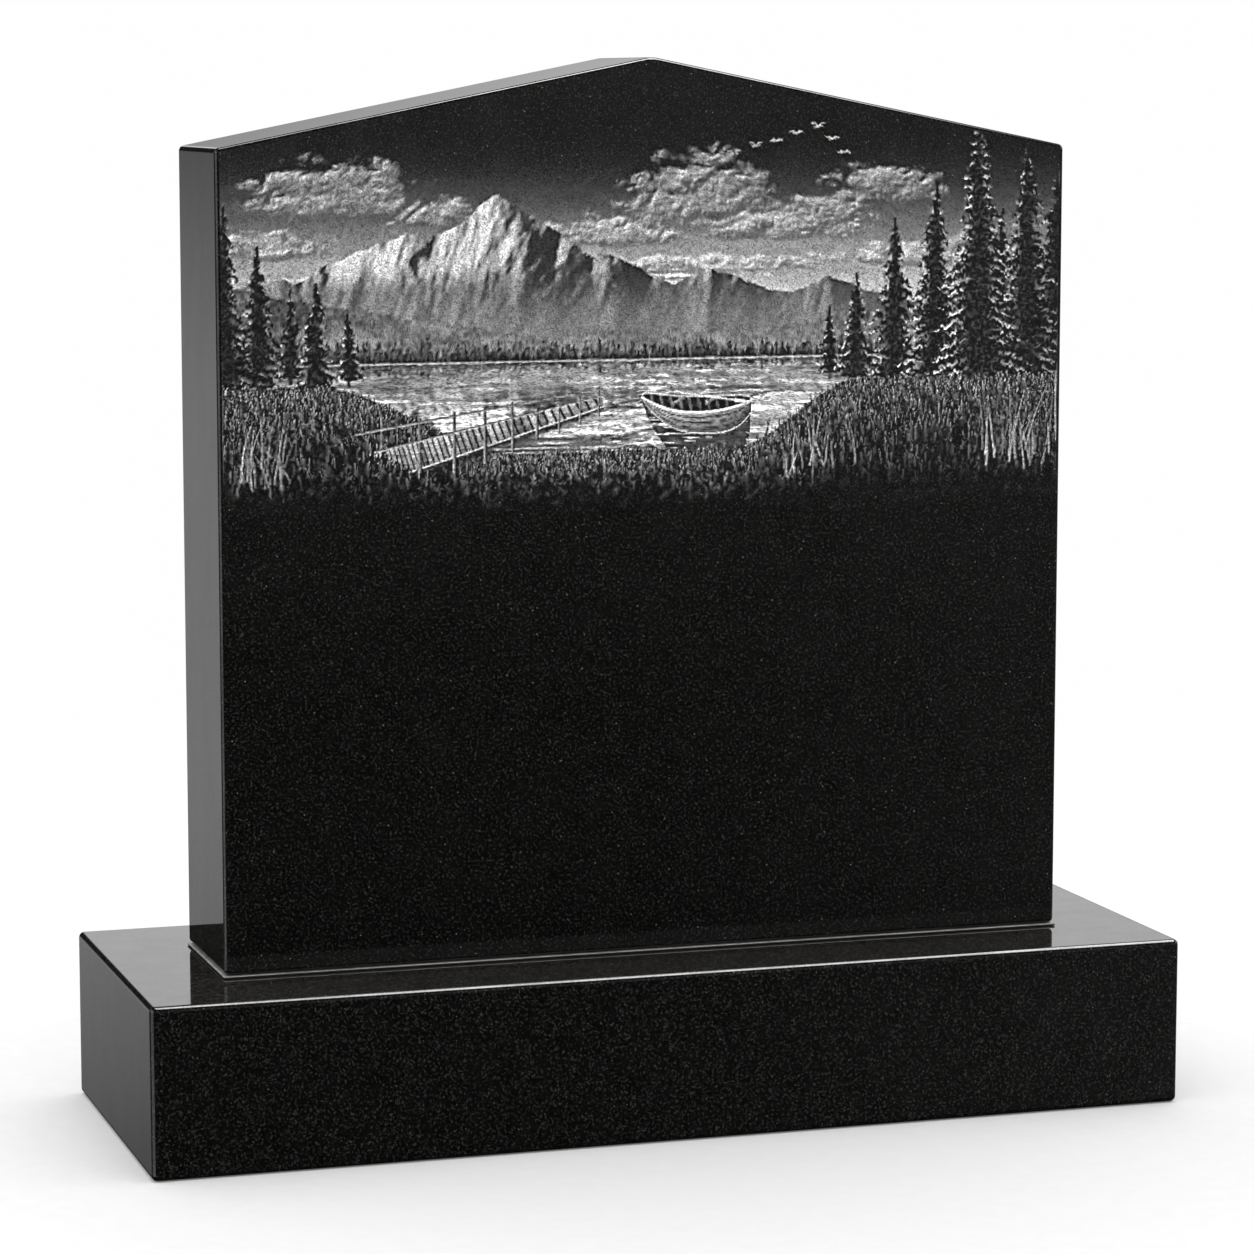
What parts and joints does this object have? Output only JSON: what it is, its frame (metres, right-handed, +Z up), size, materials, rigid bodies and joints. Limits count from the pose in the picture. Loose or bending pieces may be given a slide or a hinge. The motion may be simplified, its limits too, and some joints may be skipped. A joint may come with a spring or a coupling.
{
  "type": "headstone",
  "caption": "Upright polished black granite headstone: a tablet with a shallow gabled top, etched with a landscape, set in a thin bed on a wider base block.",
  "frame": {"origin": "middle of the base block's underside, which stands on the ground", "axes": "+Z up, -Y out of the tablet's etched front, +X to the right of someone who looks at that front"},
  "size_m": [0.924, 0.332, 0.9211],
  "materials": {
    "polished_granite": "mirror polished, near black with fine pale flecks",
    "setting_compound": "matt light grey"
  },
  "bodies": {
    "root": {"tablet": "polished_granite", "base_block": "polished_granite", "setting_bed": "setting_compound"}
  },
  "joints": []
}
